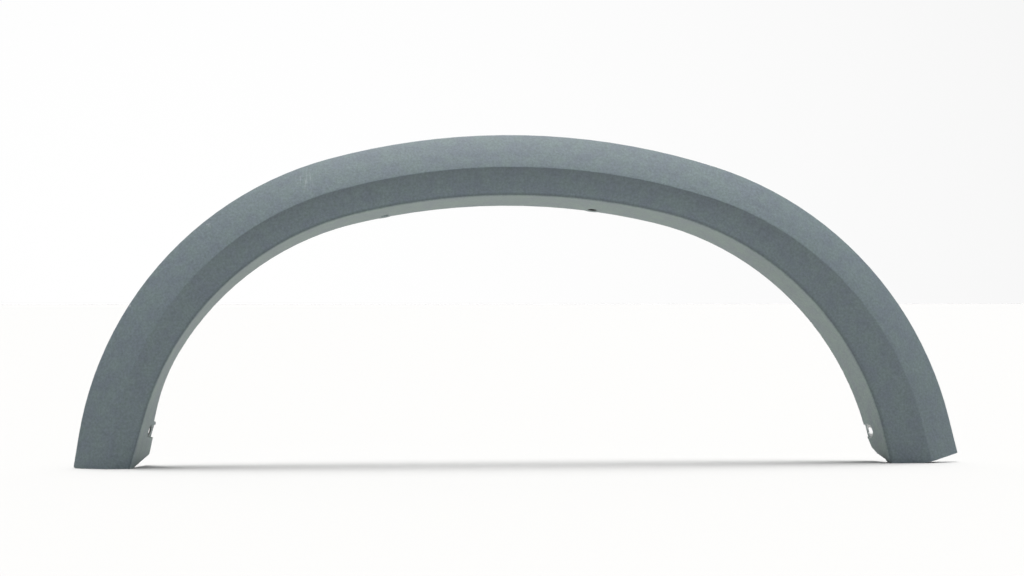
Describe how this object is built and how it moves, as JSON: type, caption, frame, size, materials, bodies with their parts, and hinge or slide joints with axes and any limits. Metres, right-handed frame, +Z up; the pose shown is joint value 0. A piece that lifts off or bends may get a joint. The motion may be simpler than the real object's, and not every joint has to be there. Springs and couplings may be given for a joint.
{
  "type": "wheel arch trim",
  "caption": "Arched matte plastic trim for the edge of a wheel arch: sloping outer band, hollow front face, return flange into the opening, webs and clip seats behind.",
  "frame": {"origin": "middle of the part along its length and across its depth, at the level of the soles of the feet", "axes": "+X along the arch, to the right as seen from the front; +Y from the front face towards the vehicle; +Z up, from the soles to the crown"},
  "size_m": [0.9156, 0.062, 0.339],
  "materials": {
    "trim_plastic": "fine-textured matte grey, unpainted"
  },
  "bodies": {
    "root": {"arch_trim": "trim_plastic"}
  },
  "joints": []
}
